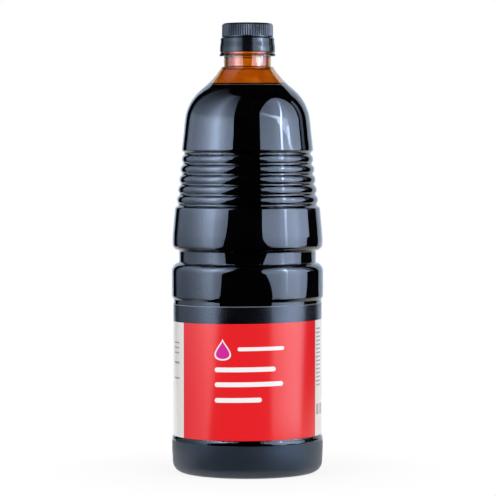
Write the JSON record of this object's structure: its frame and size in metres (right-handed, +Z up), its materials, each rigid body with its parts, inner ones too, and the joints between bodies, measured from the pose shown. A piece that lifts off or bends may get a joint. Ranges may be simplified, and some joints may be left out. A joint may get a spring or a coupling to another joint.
{
  "type": "sauce bottle",
  "caption": "Tall clear plastic bottle of dark teriyaki sauce with stacked grip ribs, a waist groove, a wrap-around film label, a smooth collar and a ribbed screw cap.",
  "frame": {"origin": "centre of the standing ring under the base, on the surface the bottle stands on", "axes": "+Z up the bottle's axis to the cap, -Y out of the middle of the label's front"},
  "size_m": [0.1022, 0.1022, 0.3023],
  "materials": {
    "clear_plastic": "glossy clear blow-moulded plastic",
    "sauce": "opaque near-black liquid, amber where it is thin",
    "label_film": "satin printed film, red front and pale grey sides",
    "black_plastic": "satin moulded black plastic"
  },
  "bodies": {
    "root": {"bottle": "clear_plastic", "sauce": "sauce", "label": "label_film", "collar": "black_plastic", "cap": "black_plastic"}
  },
  "joints": []
}
